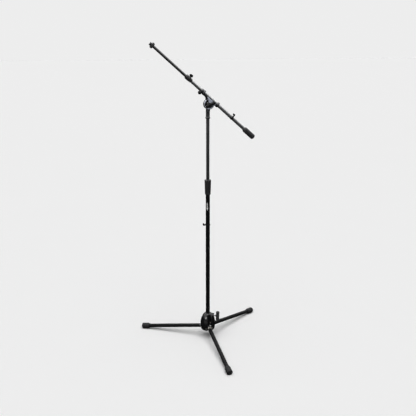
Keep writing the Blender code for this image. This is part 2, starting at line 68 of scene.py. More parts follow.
CAD_LOW, CAD_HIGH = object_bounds()

# ---------------------------------------------------------------- sizes
ROUND = 72                        # sides of a fine turned piece
VIEW_AZIMUTH = radians(-16.41)    # direction the camera stands in, turned from -Y
CAMERA_DISTANCE = 2.568           # level distance from the mast
CAMERA_HEIGHT = 1.540             # above the floor
CAMERA_PITCH = radians(17.23)     # below the horizontal
CAMERA_LENS = 45.21               # mm on a 36 mm sensor
BACKDROP = 0.8700                 # linear brightness of the backdrop
CAMERA_SHIFT = 0.0005             # sideways, in frame widths
DISPLAY_GAMMA = 0.85             # display gamma, deepens the darks
DIFFUSE_SKY = 0.225               # share of the light that falls from the whole sky
TUBE_WALL = 0.0012
GAP = 0.0003                      # clearance between parts that slide or turn
CLIP_HALF = 0.0038                # half length of a cable clip along its tube

FLOOR_Z = CAD_LOW.z
JOINTS = {joint["name"]: joint for joint in frame["joints"]}


# ---------------------------------------------------------------- local frames
def basis(origin, z_axis, x_hint):
    """Frame at origin whose Z runs along z_axis and whose X leans towards x_hint."""
    z = Vector(z_axis).normalized()
    x = (Vector(x_hint) - z * z.dot(Vector(x_hint))).normalized()
    turn = Matrix((x, z.cross(x), z)).transposed().to_4x4()
    return Matrix.Translation(Vector(origin)) @ turn


def axis_of(name):
    return Vector(JOINTS[name]["axis"]).normalized()


def point_of(name):
    return Vector(JOINTS[name]["pos_m"])


def middle_of(node):
    verts = frame["nodes"][node].data.vertices
    return sum((v.co for v in verts), Vector()) / len(verts)


def span(node, place):
    """Largest radius and the two end heights of a CAD node, in a local frame."""
    inverse = place.inverted()
    points = [inverse @ v.co for v in frame["nodes"][node].data.vertices]
    return (max(hypot(p.x, p.y) for p in points), min(p.z for p in points),
            max(p.z for p in points))


UP = Vector((0, 0, 1))
MAST = Matrix.Translation((0, 0, FLOOR_Z))
CLAMP = basis((0, 0, point_of("base_knob_turn").z), axis_of("base_knob_turn"), UP)
HINGE = basis(point_of("boom_tilt"), axis_of("clutch_knob_turn"), (1, 0, 0))
BOOM_AXIS = axis_of("boom_slide")
BOOM_FOOT = point_of("boom_roll")
BOOM_FOOT = BOOM_FOOT + BOOM_AXIS * BOOM_AXIS.dot(point_of("boom_tilt") - BOOM_FOOT)
BOOM = basis(BOOM_FOOT, BOOM_AXIS, UP)


def screw_frame(joint):
    """Frame of a thumb screw that points at the boom's axis; Z leads away from the boom."""
    point = point_of(joint)
    foot = BOOM_FOOT + BOOM_AXIS * BOOM_AXIS.dot(point - BOOM_FOOT)
    return basis(foot, axis_of(joint), BOOM_AXIS)


CRADLE_SCREW = screw_frame("cradle_screw_turn")
TELE_SCREW = screw_frame("tele_screw_turn")


def leg_frame(number):
    """Frame at a leg's pivot: Z along the leg, Y along the pin."""
    pivot = point_of(f"leg_{number}_fold")
    along = (middle_of(f"leg_{number}_tube") - pivot).normalized()
    return basis(pivot, along, UP)


# ---------------------------------------------------------------- materials
class Surface:
    """A Principled material and the few node recipes that all looks share."""

    def __init__(self, name, colour, roughness, metallic=0.0):
        self.material = bpy.data.materials.new(name)
        self.material.use_nodes = True
        self.tree = self.material.node_tree
        self.shader = self.tree.nodes["Principled BSDF"]
        self.colour = colour
        self.where = self.add("ShaderNodeTexCoord").outputs["Object"]
        self.height = None
        self.set("Base Color", (*colour, 1.0))
        self.set("Roughness", roughness)
        self.set("Metallic", metallic)

    def add(self, kind, **settings):
        node = self.tree.nodes.new(kind)
        for key, value in settings.items():
            setattr(node, key, value)
        return node

    def set(self, socket, value):
        self.shader.inputs[socket].default_value = value

    def link(self, source, target):
        self.tree.links.new(source, target)

    def noise(self, scale, detail=3.0, stretch=(1, 1, 1)):
        """Noise between 0 and 1; scale is in features per metre."""
        mapping = self.add("ShaderNodeMapping")
        mapping.inputs["Scale"].default_value = stretch
        texture = self.add("ShaderNodeTexNoise")
        texture.inputs["Scale"].default_value = scale
        texture.inputs["Detail"].default_value = detail
        self.link(self.where, mapping.inputs["Vector"])
        self.link(mapping.outputs["Vector"], texture.inputs["Vector"])
        return texture.outputs["Fac"]

    def cells(self, scale):
        texture = self.add("ShaderNodeTexVoronoi")
        texture.inputs["Scale"].default_value = scale
        self.link(self.where, texture.inputs["Vector"])
        return texture.outputs["Distance"]

    def edges(self):
        """High on worn convex edges."""
        return self.add("ShaderNodeNewGeometry").outputs["Pointiness"]

    def remap(self, source, low, high, to_low, to_high):
        node = self.add("ShaderNodeMapRange", interpolation_type="SMOOTHSTEP")
        for key, value in (("From Min", low), ("From Max", high), ("To Min", to_low), ("To Max", to_high)):
            node.inputs[key].default_value = value
        self.link(source, node.inputs["Value"])
        return node.outputs["Result"]

    def tint(self, source, colour):
        """Mix another colour into the base colour where source is high."""
        node = self.add("ShaderNodeMix", data_type="RGBA")
        self.link(source, node.inputs["Factor"])
        before = self.shader.inputs["Base Color"]
        if before.is_linked:
            self.link(before.links[0].from_socket, node.inputs["A"])
        else:
            node.inputs["A"].default_value = before.default_value
        node.inputs["B"].default_value = (*colour, 1.0)
        self.link(node.outputs["Result"], before)

    def rough(self, source):
        self.link(source, self.shader.inputs["Roughness"])

    def bump(self, source, strength, distance):
        """Stack one more bump under the surface."""
        node = self.add("ShaderNodeBump")
        node.inputs["Strength"].default_value = strength
        node.inputs["Distance"].default_value = distance
        self.link(source, node.inputs["Height"])
        if self.height:
            self.link(self.height, node.inputs["Normal"])
        self.height = node.outputs["Normal"]
        self.link(self.height, self.shader.inputs["Normal"])


def powder_coat(name, colour, roughness, shine=0.5):
    """Baked paint on steel tube: fine orange peel, slight cloudiness, rubbed edges."""
    look = Surface(name, colour, roughness)
    look.set("Specular IOR Level", shine)
    light = tuple(1.6 * part + 0.004 for part in colour)
    look.tint(look.remap(look.noise(45, 4), 0.35, 0.75, 0.0, 0.5), light)
    look.tint(look.remap(look.edges(), 0.53, 0.60, 0.0, 0.5), (0.10, 0.10, 0.105))
    look.rough(look.remap(look.noise(180, 4), 0.3, 0.7, roughness - 0.05, roughness + 0.07))
    look.bump(look.noise(900, 2), 0.30, 0.00012)
    look.bump(look.noise(2600, 1), 0.12, 0.00005)
    return look.material


def casting(name, colour, roughness):
    """Painted die casting: softer and a little grainier than the tubes."""
    look = Surface(name, colour, roughness)
    look.tint(look.remap(look.noise(60, 5), 0.4, 0.7, 0.0, 0.6), tuple(1.8 * part for part in colour))
    look.tint(look.remap(look.edges(), 0.52, 0.58, 0.0, 0.55), (0.13, 0.13, 0.14))
    look.rough(look.remap(look.noise(300, 3), 0.3, 0.7, roughness - 0.06, roughness + 0.08))
    look.bump(look.noise(700, 4), 0.35, 0.00015)
    return look.material


def gloss_plastic(name, colour, roughness):
    """Polished moulding: faint flow waviness and hairline scratches in the gloss."""
    look = Surface(name, colour, roughness)
    look.set("Specular IOR Level", 0.22)
    look.tint(look.remap(look.noise(30, 3), 0.4, 0.8, 0.0, 0.5), tuple(2.0 * part for part in colour))
    scratches = look.noise(420, 2, stretch=(1.0, 1.0, 0.06))
    look.rough(look.remap(scratches, 0.45, 0.75, roughness, roughness + 0.14))
    look.bump(look.noise(55, 2), 0.10, 0.0006)
    look.bump(scratches, 0.03, 0.0001)
    return look.material


def matt_plastic(name, colour, roughness, shine=0.3):
    """Spark-textured moulding with edges polished by handling."""
    look = Surface(name, colour, roughness)
    look.set("Specular IOR Level", shine)
    look.tint(look.remap(look.noise(90, 4), 0.4, 0.8, 0.0, 0.5), tuple(1.7 * part for part in colour))
    look.rough(look.remap(look.edges(), 0.51, 0.58, roughness, roughness - 0.20))
    look.bump(look.cells(1400), 0.28, 0.00022)
    look.bump(look.noise(3000, 2), 0.20, 0.00010)
    return look.material


def rubber(name, colour, roughness):
    """Moulded rubber: dusty bloom on its rubbed parts, soft grain."""
    look = Surface(name, colour, roughness)
    look.set("Sheen Weight", 0.05)
    look.set("Sheen Roughness", 0.5)
    look.set("Specular IOR Level", 0.25)
    look.tint(look.remap(look.noise(120, 6), 0.50, 0.80, 0.0, 0.6), tuple(2.6 * part for part in colour))
    look.rough(look.remap(look.noise(200, 3), 0.3, 0.7, roughness - 0.08, roughness + 0.08))
    look.bump(look.noise(1600, 3), 0.45, 0.00018)
    return look.material


def plated(name, colour, roughness, stain):
    """Plated or bare metal: drawn streaks, clouding, a stain in the low spots."""
    look = Surface(name, colour, roughness, metallic=1.0)
    look.tint(look.remap(look.noise(150, 5), 0.45, 0.80, 0.0, 0.7), stain)
    streaks = look.noise(900, 2, stretch=(1.0, 1.0, 0.12))
    look.rough(look.remap(streaks, 0.3, 0.7, roughness - 0.08, roughness + 0.12))
    look.bump(streaks, 0.12, 0.0001)
    return look.material


def paint_mark(name, colour):
    """Screen-printed mark: thin ink with small pinholes."""
    look = Surface(name, colour, 0.55)
    look.tint(look.remap(look.noise(1500, 3), 0.62, 0.72, 0.0, 1.0), tuple(0.4 * part for part in colour))
    look.bump(look.noise(2000, 1), 0.1, 0.00005)
    return look.material


LOOKS = {
    "gloss_black": gloss_plastic("gloss_black", (0.0090, 0.0090, 0.0098), 0.18),
    "matt_black": matt_plastic("matt_black", (0.0175, 0.0175, 0.0185), 0.55),
    "knob_black": matt_plastic("knob_black", (0.0040, 0.0040, 0.0046), 0.60, 0.12),
    "lower_black": powder_coat("lower_black", (0.0040, 0.0040, 0.0044), 0.20, 0.4),
    "black_tube": powder_coat("black_tube", (0.0200, 0.0202, 0.0212), 0.32),
    "leg_black": powder_coat("leg_black", (0.0040, 0.0040, 0.0044), 0.42, 0.07),
    "boom_tube": powder_coat("boom_tube", (0.0480, 0.0485, 0.0500), 0.34, 1.0),
    # Satin metal for the face of the moving disc; the same look on the sheet over the cradle web is a
    # painted highlight
    "disc_satin_and_painted_highlight": plated("disc_satin_and_painted_highlight", (0.30, 0.31, 0.345), 0.44, (0.20, 0.21, 0.235)),
    "inner_black": powder_coat("inner_black", (0.0050, 0.0050, 0.0054), 0.44),
    "black_casting": casting("black_casting", (0.0140, 0.0142, 0.0160), 0.38),
    "black_rubber": rubber("black_rubber", (0.0055, 0.0055, 0.0060), 0.72),
    "weight_rubber": rubber("weight_rubber", (0.0190, 0.0190, 0.0200), 0.62),
    "zinc": plated("zinc", (0.46, 0.45, 0.42), 0.34, (0.30, 0.28, 0.22)),
    "root_zinc": plated("root_zinc", (0.22, 0.21, 0.19), 0.62, (0.14, 0.13, 0.11)),
    "dark_steel": plated("dark_steel", (0.060, 0.060, 0.064), 0.36, (0.03, 0.03, 0.03)),
    "steel": plated("steel", (0.36, 0.36, 0.37), 0.30, (0.18, 0.17, 0.16)),
    "brass": plated("brass", (0.56, 0.41, 0.18), 0.33, (0.30, 0.20, 0.10)),
    "nylon": matt_plastic("nylon", (0.070, 0.070, 0.074), 0.50),
    "fibre": matt_plastic("fibre", (0.110, 0.104, 0.096), 0.75),
    "mark": paint_mark("mark", (0.90, 0.90, 0.90)),
}


# ---------------------------------------------------------------- shapes
def soft(corners, cut=0.0006, closed=False, steps=3):
    """Round the corners of an outline; each curve starts cut before its corner and ends cut after it."""
    points = [Vector(c[:2]) for c in corners]
    cuts = [c[2] if len(c) > 2 else cut for c in corners]
    count = len(points)
    made = []
    for index, corner in enumerate(points):
        if not closed and index in (0, count - 1):
            made.append(tuple(corner))
            continue
        before = points[index - 1] - corner
        after = points[(index + 1) % count] - corner
        reach = min(cuts[index], 0.45 * before.length, 0.45 * after.length)
        start = corner + before.normalized() * reach
        end = corner + after.normalized() * reach
        for step in range(steps + 1):
            t = step / steps
            made.append(tuple(start * (1 - t) ** 2 + corner * 2 * t * (1 - t) + end * t * t))
    return made


def lathe(outline, sides=ROUND, closed=False, ripple=None):
    """Turn (radius, height) points about Z; ripple(angle, radius, height) adds to the radius."""
    bm = bmesh.new()
    rings = []
    for radius, height in outline:
        ring = []
        for side in range(sides):
            angle = 2 * pi * side / sides
            r = radius + (ripple(angle, radius, height) if ripple else 0.0)
            ring.append(bm.verts.new((r * cos(angle), r * sin(angle), height)))
        rings.append(ring)
    pairs = list(zip(rings, rings[1:]))
    if closed:
        pairs.append((rings[-1], rings[0]))
    for upper, lower in pairs:
        for side in range(sides):
            after = (side + 1) % sides
            bm.faces.new((upper[side], lower[side], lower[after], upper[after]))
    if not closed:
        bm.faces.new(rings[0])
        bm.faces.new(reversed(rings[-1]))
    return bm


def pipe(outer, inner, low, high, edge=0.0003, sides=ROUND):
    """Tube with broken edges."""
    corners = [(outer, high), (outer, low), (inner, low), (inner, high)]
    return lathe(soft(corners, edge, closed=True), sides, closed=True)


def slab(low, high):
    bm = bmesh.new()
    bmesh.ops.create_cube(bm, size=1.0)
    low, high = Vector(low), Vector(high)
    bmesh.ops.scale(bm, vec=high - low, verts=bm.verts)
    bmesh.ops.translate(bm, vec=(low + high) / 2, verts=bm.verts)
    return bm


def placed(bm, matrix):
    bm.transform(matrix)
    return bm


def turn(degrees, axis):
    return Matrix.Rotation(radians(degrees), 4, axis)


ACROSS = turn(90, "X")            # lays a shape made about Z along Y


def loft(sections, sides=28, power=2.6):
    """Skin a row of super-ellipses given as (centre, half width vector, half height vector)."""
    bm = bmesh.new()
    loops = []
    for centre, wide, tall in sections:
        loop = []
        for side in range(sides):
            angle = 2 * pi * side / sides
            c, s = cos(angle), sin(angle)
            a = abs(c) ** (2 / power) * (1 if c >= 0 else -1)
            b = abs(s) ** (2 / power) * (1 if s >= 0 else -1)
            loop.append(bm.verts.new(Vector(centre) + Vector(wide) * a + Vector(tall) * b))
        loops.append(loop)
    for first, second in zip(loops, loops[1:]):
        for side in range(sides):
            after = (side + 1) % sides
            bm.faces.new((first[side], first[after], second[after], second[side]))
    bm.faces.new(reversed(loops[0]))
    bm.faces.new(loops[-1])
    bmesh.ops.recalc_face_normals(bm, faces=bm.faces)
    return bm


def handle_bar(length, wide, tall, lift, waist=0.78):
    """T-handle bar along Y at a height, waisted in the middle, with rounded ends."""
    sections = []
    steps = 28
    for step in range(steps + 1):
        t = -1 + 2 * step / steps
        end = max(0.0, (abs(t) - 0.80) / 0.20)
        size = waist + (1 - waist) * sin(min(abs(t) / 0.72, 1.0) * pi / 2) ** 2
        size = size * sqrt(max(1 - end ** 2.2, 0.03))
        sections.append(((0, t * length / 2, lift), (wide * size, 0, 0), (0, 0, tall * size)))
    return loft(sections)


def scratch(bm):
    """Temporary object for a modifier to work on or with."""
    mesh = bpy.data.meshes.new("scratch")
    bmesh.ops.recalc_face_normals(bm, faces=bm.faces)
    bm.to_mesh(mesh)
    bm.free()
    made = bpy.data.objects.new("scratch", mesh)
    bpy.context.scene.collection.objects.link(made)
    return made


def carved(parts, cuts=(), voxel=0.0, rounds=6, keep=0.5):
    """Join parts, take the cuts out and, with a voxel size, soften every edge like a casting's."""
    body = scratch(parts[0])
    tools = []
    for operation, shapes in (("UNION", parts[1:]), ("DIFFERENCE", cuts)):
        for shape in shapes:
            tool = scratch(shape)
            tools.append(tool)
            step = body.modifiers.new("cut", "BOOLEAN")
            step.operation = operation
            step.object = tool
            step.solver = "EXACT"
    if voxel:
        remesh = body.modifiers.new("voxels", "REMESH")
        remesh.mode = "VOXEL"
        remesh.voxel_size = voxel
        smooth = body.modifiers.new("soften", "SMOOTH")
        smooth.factor = 0.5
        smooth.iterations = rounds
        thin = body.modifiers.new("thin", "DECIMATE")
        thin.ratio = keep
    bpy.context.view_layer.update()
    ready = body.evaluated_get(bpy.context.evaluated_depsgraph_get())
    bm = bmesh.new()
    bm.from_mesh(ready.to_mesh())
    ready.to_mesh_clear()
    for old in [body] + tools:
        mesh = old.data
        bpy.data.objects.remove(old)
        bpy.data.meshes.remove(mesh)
    return bm


def add(name, bm, look, body, place=None, stands_for=(), angle=35):
    """Make a finished piece from a bmesh, put it in its place and let it ride on a body."""
    if place:
        bm.transform(place)
    mesh = bpy.data.meshes.new(name)
    bmesh.ops.recalc_face_normals(bm, faces=bm.faces)
    bm.to_mesh(mesh)
    bm.free()
    mesh.shade_smooth()
    mesh.set_sharp_from_angle(angle=radians(angle))
    mesh.materials.append(LOOKS[look])
    made = bpy.data.objects.new(name, mesh)
    bpy.context.scene.collection.objects.link(made)
    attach(made, body)
    if stands_for:
        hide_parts(*stands_for)
    return made


def thread(radius, depth, pitch, low, high, sides=40):
    """Threaded rod between two heights, its ends chamfered."""
    def tooth(angle, r, z):
        phase = (z / pitch + angle / (2 * pi)) % 1.0
        fade = min(1.0, (z - low) / pitch, (high - z) / pitch)
        return -depth * abs(2 * phase - 1) * max(fade, 0.0)
    count = int((high - low) / pitch * 6)
    outline = [(radius - depth, high)]
    outline += [(radius, high - (high - low) * (step + 0.5) / count) for step in range(count)]
    outline += [(radius - depth, low)]
    return lathe(outline, sides, ripple=tooth)


def plate(outline, low, high):
    """Extrude a closed (x, y) outline between two heights."""
    bm = bmesh.new()
    bottom = [bm.verts.new((x, y, low)) for x, y in outline]
    top = [bm.verts.new((x, y, high)) for x, y in outline]
    bm.faces.new(bottom)
    bm.faces.new(top)
    for index in range(len(outline)):
        after = (index + 1) % len(outline)
        bm.faces.new((bottom[index], bottom[after], top[after], top[index]))
    bmesh.ops.recalc_face_normals(bm, faces=bm.faces)
    return bm


def drilled(bm, holes):
    """Machine crisp holes into a softened casting."""
    return carved([bm], holes)


def rod(radius, low, high, sides=48):
    return lathe([(radius, high), (radius, low)], sides)


def tube(name, node, look, body, place, wall=TUBE_WALL):
    """Painted tube that takes its size from its CAD node."""
    outer, low, high = span(node, place)
    add(name, pipe(outer, outer - wall, low, high), look, body, place, [node])


# ---------------------------------------------------------------- base
TUBE_R = span("lower_tube", MAST)[0]
LEG_PIN_R = 0.0031                # bore for a leg's pin
EGG_CROWN = 0.0665                # height of the housing above its widest ring
EGG_POWER = 2.25


def egg_radius(z, widest, rim):
    """Outside radius of the housing at a height."""
    belly = 0.0800
    if z < belly:
        return widest - 0.0045 * ((belly - z) / (belly - rim)) ** 2.2
    return widest * max(1.0 - ((z - belly) / EGG_CROWN) ** EGG_POWER, 0.0) ** (1.0 / EGG_POWER)


def base_housing():
    """Egg-shaped moulding, hollow below, with a tall slot for each leg and a boss for the clamp screw."""
    widest, rim, top = span("base_housing", MAST)
    home = MAST.inverted()
    outline = [(0.0138, top), (0.0152, top - 0.0003), (0.0164, top - 0.0012)]
    heights = [top - 0.0035 - (top - 0.0585) * step / 30 for step in range(29)]
    outline += [(egg_radius(z, widest, rim), z) for z in heights if z > rim + 0.0055]
    foot = egg_radius(rim, widest, rim)
    outline += [(foot + 0.0003, rim + 0.0046), (foot + 0.0012, rim + 0.0034), (foot + 0.0012, rim + 0.0014),
                (foot + 0.0002, rim + 0.0002), (0.0345, rim), (0.0245, rim), (0.0245, 0.1000),
                (TUBE_R - 0.0005, 0.1000), (TUBE_R - 0.0005, top)]
    boss_end = 0.0335
    boss = lathe(soft([(0.0095, boss_end), (0.0125, boss_end - 0.0014), (0.0125, 0.0120)], 0.0014), 48)
    cuts = []
    pins = []
    for number in (1, 2, 3):
        place = leg_frame(number)
        out = Vector((place.translation.x, place.translation.y, 0)).normalized()
        slot = basis(MAST.translation, UP, out)
        cuts.append(placed(slab((0.0205, -0.0110, 0.030), (0.070, 0.0110, 0.170)), slot))
        across = place @ ACROSS
        pins.append(placed(rod(LEG_PIN_R, -0.05, 0.05, 32), across))
        for side in (-1, 1):
            pins.append(placed(rod(0.0050, side * 0.0185, side * 0.0400, 40), across))
    body = carved([lathe(outline, 128, closed=True), placed(boss, home @ CLAMP)],
                  [placed(c, home) for c in cuts], voxel=0.0007, rounds=5, keep=0.6)
    holes = [placed(p, home) for p in pins]
    holes.append(rod(TUBE_R + GAP, 0.04, 0.16, 96))
    way = lathe([(0.0044, 0.0450), (0.0044, 0.0245), (0.0062, 0.0245), (0.0062, 0.0080)], 40)
    holes.append(placed(way, home @ CLAMP))
    return add("housing_shell", drilled(body, holes), "gloss_black", "base", MAST,
               ["base_housing"], 32)


def leg_pin(number, place):
    """Rivet with two domed heads, across the leg root."""
    head = 0.0188
    half = [(0.0008, head + 0.0019), (0.0024, head + 0.0016), (0.0038, head + 0.0008),
            (0.0042, head + 0.0002), (0.0042, head), (0.0029, head)]
    outline = half + [(r, -z) for r, z in reversed(half)]
    add(f"leg_{number}_rivet", lathe(outline, 40), "zinc", "base", place @ ACROSS,
        [f"leg_{number}_pin"])


def leg_root(number, place):
    """Cast knuckle: eye on the rivet, shank into the tube, toe that faces the mast collar."""
    fall = -(place.to_3x3() @ Vector((0, 0, 1))).z
    level = Matrix.Rotation(-fall, 4, "Y")
    shank = lathe([(0.0056, 0.0460), (0.0080, 0.0445), (0.0080, 0.0137), (0.0096, 0.0137), (0.0097, 0.0085),
                   (0.0080, 0.0030)], 48)
    eye = placed(rod(0.0082, -0.0090, 0.0090), ACROSS)
    toe = placed(placed(rod(0.0060, -0.0060, 0.0060), ACROSS), level @ Matrix.Translation((0, 0, -0.0135)))
    web = placed(slab((-0.0042, -0.0055, -0.0135), (0.0042, 0.0055, -0.0010)), level)
    bm = carved([shank, eye, toe, web], voxel=0.00045, rounds=4, keep=0.5)
    bm = drilled(bm, [placed(rod(LEG_PIN_R, -0.02, 0.02, 40), ACROSS)])
    add(f"leg_{number}_knuckle", bm, "black_casting", f"leg_{number}", place,
        [f"leg_{number}_root"], 32)
    add(f"leg_{number}_eye", placed(pipe(0.0085, LEG_PIN_R, -0.0100, 0.0100, 0.0006, 48), ACROSS),
        "root_zinc", f"leg_{number}", place, ())


def leg_foot(number, place):
    """Rubber boot: ribbed mouth, long barrel with grip rings, sole worn flat on the floor."""
    node = f"leg_{number}_foot"
    low, high = 0.3120, 0.3555
    outer, bore = 0.0152, 0.0103
    outline = [(bore, low), (0.0118, low), (0.0124, low + 0.0006), (0.0128, low + 0.0020),
               (0.0124, low + 0.0034), (0.0134, low + 0.0046), (0.0140, low + 0.0056)]
    outline += [(outer - 0.0006, low + 0.0074), (outer, low + 0.0088)]
    for ring in range(4):
        start = low + 0.0150 + 0.0056 * ring
        outline += [(outer, start), (outer - 0.0007, start + 0.0006), (outer - 0.0007, start + 0.0016),
                    (outer, start + 0.0022)]
    outline += [(outer, high - 0.0042), (outer - 0.0006, high - 0.0020), (outer - 0.0022, high - 0.0006),
                (0.0116, high), (0.0040, high), (0.0034, high - 0.0008), (0.0006, high - 0.0008)]
    outline += [(0.0006, 0.3450), (bore - 0.0002, 0.3450)]
    bm = lathe(outline, 64, closed=True)
    bm.transform(place)
    cut = bmesh.ops.bisect_plane(bm, geom=bm.verts[:] + bm.edges[:] + bm.faces[:],
                                 plane_co=(0, 0, FLOOR_Z), plane_no=(0, 0, 1), clear_inner=True)
    edges = [e for e in cut["geom_cut"] if isinstance(e, bmesh.types.BMEdge)]
    bmesh.ops.contextual_create(bm, geom=edges)
    add(f"leg_{number}_boot", bm, "black_rubber", f"leg_{number}", None, [node])


def t_handle(name, length, wide, tall, lift, hub, bar_turn, bore, look, body, place, node):
    """Moulded T-handle: hub turned from an outline, waisted bar across it, one drilled bore."""
    bar = placed(handle_bar(length, wide, tall, lift), turn(bar_turn, "Z"))
    bm = carved([lathe(hub, 48), bar], voxel=0.00045, rounds=6, keep=0.5)
    bm = drilled(bm, [rod(*bore, 40)])
    add(name, bm, look, body, place, [node], 32)


def base_clamp():
    shoe = lathe(soft([(0.0060, 0.0180), (0.0060, TUBE_R + 3 * GAP)], 0.0004), 48)
    add("clamp_shoe", shoe, "brass", "base_shoe", CLAMP, ["base_clamp_shoe"])
    hub = soft([(0.0040, 0.0640), (0.0085, 0.0625), (0.0085, 0.0480), (0.0064, 0.0460),
                (0.0050, 0.0455)], 0.0010)
    t_handle("base_handle", 0.0520, 0.0092, 0.0092, 0.0555, hub, 82, (0.0036, 0.0400, 0.0580),
             "matt_black", "base_knob", CLAMP, "base_clamp_knob")
    screw = thread(0.0039, 0.0005, 0.0010, 0.0183, 0.0570)
    add("base_screw", screw, "steel", "base_knob", CLAMP, ())


def base():
    base_housing()
    for number in (1, 2, 3):
        place = leg_frame(number)
        leg_pin(number, place)
        leg_root(number, place)
        tube(f"leg_{number}_pipe", f"leg_{number}_tube", "leg_black", f"leg_{number}", place)
        leg_foot(number, place)
    base_clamp()


# ---------------------------------------------------------------- mast
def mast_foot():
    outer, low, high = span("shaft_foot_collar", MAST)
    bore = TUBE_R + GAP
    corners = [(outer - 0.0025, high), (outer, high - 0.0015), (outer, low + 0.0007), (outer - 0.0008, low),
               (bore, low), (bore, high)]
    add("foot_collar", lathe(soft(corners, 0.0005, closed=True), closed=True), "zinc", "shaft", MAST,
        ["shaft_foot_collar"])
    outer, low, high = span("shaft_foot_plug", MAST)
    stem = TUBE_R - TUBE_WALL - GAP
    corners = [(stem - 0.0010, high), (stem, high - 0.0010)]
    for rib in range(4):
        z = high - 0.0040 - 0.0046 * rib
        corners += [(stem, z + 0.0008), (stem - 0.0008, z), (stem, z - 0.0008)]
    corners += [(stem, 0.0473), (outer - 0.0006, 0.0473), (outer, 0.0467), (outer, low + 0.0008),
                (outer - 0.0008, low)]
    add("foot_plug", lathe(soft(corners, 0.0004)), "black_rubber", "shaft", MAST, ["shaft_foot_plug"])


def lower_mast():
    tube("mast_lower_pipe", "lower_tube", "lower_black", "shaft", MAST)
    outer, low, high = span("mast_threaded_bush", MAST)
    bore, neck = TUBE_R + GAP, 0.0088
    corners = [(outer - 0.0006, high), (outer, high - 0.0010)]
    turns = 14
    for groove in range(turns):
        z = high - 0.0030 - 0.0018 * groove
        corners += [(outer, z + 0.0005), (outer - 0.0006, z), (outer, z - 0.0005)]
    corners += [(outer, low), (bore, low), (bore, 0.8463), (neck, 0.8463), (neck, high)]
    add("threaded_bush", lathe(corners, closed=True), "zinc", "shaft", MAST, ["mast_threaded_bush"])
    outer, low, high = span("mast_collet", MAST)
    corners = [(outer - 0.0014, high), (outer, high - 0.0100), (outer, low), (0.0084, low), (0.0084, high)]
    split = slab((0.0, -0.0008, low - 0.01), (0.020, 0.0008, high + 0.01))
    ring = carved([lathe(soft(corners, 0.0004, closed=True), closed=True)], [split])
    add("collet", ring, "nylon", "shaft", MAST, ["mast_collet"])


def mast_mark():
    """Printed mark on the lower tube: a plain column of short bars, like a level meter."""
    facing = radians(-124)
    bottom, pitch, tall = 0.7350, 0.0052, 0.0030
    radius = TUBE_R + 0.00008
    parts = bmesh.new()
    for index, part in enumerate((0.45, 0.80, 1.00, 0.62, 0.90, 0.50, 0.74, 0.36)):
        half = 0.0052 * part / TUBE_R
        columns = 10
        low = bottom + pitch * index
        shell = []
        for r in (radius, radius - 0.00020):
            for z in (low, low + tall):
                ring = [facing - half + 2 * half * step / columns for step in range(columns + 1)]
                shell.append([parts.verts.new((r * cos(a), r * sin(a), z)) for a in ring])
        front_low, front_high, back_low, back_high = shell
        for rows in ((front_low, front_high), (front_high, back_high), (back_high, back_low),
                     (back_low, front_low)):
            for step in range(columns):
                parts.faces.new((rows[0][step], rows[0][step + 1], rows[1][step + 1], rows[1][step]))
        for end in (0, -1):
            parts.faces.new((front_low[end], front_high[end], back_high[end], back_low[end]))
    add("printed_bars", parts, "mark", "shaft", MAST, ())


def mast_grip():
    """Tapered hand grip with upright flutes between two plain bands."""
    outer, low, high = span("mast_grip", MAST)
    fluted_low, fluted_high = low + 0.0075, high - 0.0085
    flutes = 16

    def flute(angle, radius, z):
        if radius < 0.0120 or not fluted_low < z < fluted_high:
            return 0.0
        ends = min(1.0, (z - fluted_low) / 0.0030, (fluted_high - z) / 0.0030)
        return -0.0013 * sqrt(ends) * (0.5 + 0.5 * cos(flutes * angle)) ** 1.6

    def wall(z):
        return 0.0143 + (outer - 0.0143) * ((z - low) / (high - low)) ** 0.8

    bore = TUBE_R + GAP
    corners = [(outer - 0.0020, high), (outer - 0.0004, high - 0.0010), (outer, high - 0.0026),
               (outer, high - 0.0064), (outer - 0.0007, high - 0.0072)]
    rows = 26
    corners += [(wall(fluted_high + (fluted_low - fluted_high) * row / rows),
                 fluted_high + (fluted_low - fluted_high) * row / rows) for row in range(rows + 1)]
    corners += [(wall(low) - 0.0002, low + 0.0066), (wall(low) + 0.0002, low + 0.0058),
                (wall(low) - 0.0004, low + 0.0014), (wall(low) - 0.0014, low), (bore, low), (bore, 0.8235),
                (0.0130, 0.8235), (0.0130, 0.8570), (0.0116, 0.8600), (0.0116, 0.8850), (0.0083, 0.8850),
                (0.0083, high)]
    add("hand_grip", lathe(corners, 8 * flutes, closed=True, ripple=flute), "matt_black", "grip", MAST,
        ["mast_grip"], 40)


def cable_clip(name, body, node, place, tube_radius):
    """Open snap ring with a finger that ends in a small rounded hook for the cable."""
    inner = tube_radius + GAP / 2
    outer = inner + 0.0018
    reach = max((place.inverted() @ v.co).x for v in frame["nodes"][node].data.vertices)
    half = CLIP_HALF
    ring = pipe(outer, inner, -half, half, 0.0005)
    mouth = slab((-0.03, -0.0040, -0.01), (-0.002, 0.0040, 0.01))
    arm = soft([(inner + 0.0006, -half), (reach - 0.0012, -half), (reach + 0.0006, -half + 0.0014),
                (reach + 0.0006, half + 0.0037), (reach - 0.0054, half + 0.0037), (reach - 0.0054, 0.0026),
                (reach - 0.0066, 0.0012), (inner + 0.0012, 0.0012)], 0.0014, closed=True)
    hook = placed(plate(arm, -0.0040, 0.0040), ACROSS)
    bm = carved([ring, hook], [mouth], voxel=0.00028, rounds=4, keep=0.5)
    add(name, bm, "knob_black", body, place, [node], 32)


def clip_frame(node, axis_frame):
    """Frame on the tube's axis in the middle of the snap ring; X points at the hook."""
    inverse = axis_frame.inverted()
    points = [inverse @ v.co for v in frame["nodes"][node].data.vertices]
    hook = max(points, key=lambda p: hypot(p.x, p.y))
    tips = [p for p in points if hypot(p.x, p.y) > hypot(hook.x, hook.y) - 0.0008]
    lean = sum((Vector((p.x, p.y, 0)) for p in tips), Vector())
    station = min(p.z for p in points) + CLIP_HALF
    return axis_frame @ basis((0, 0, station), (0, 0, 1), lean)


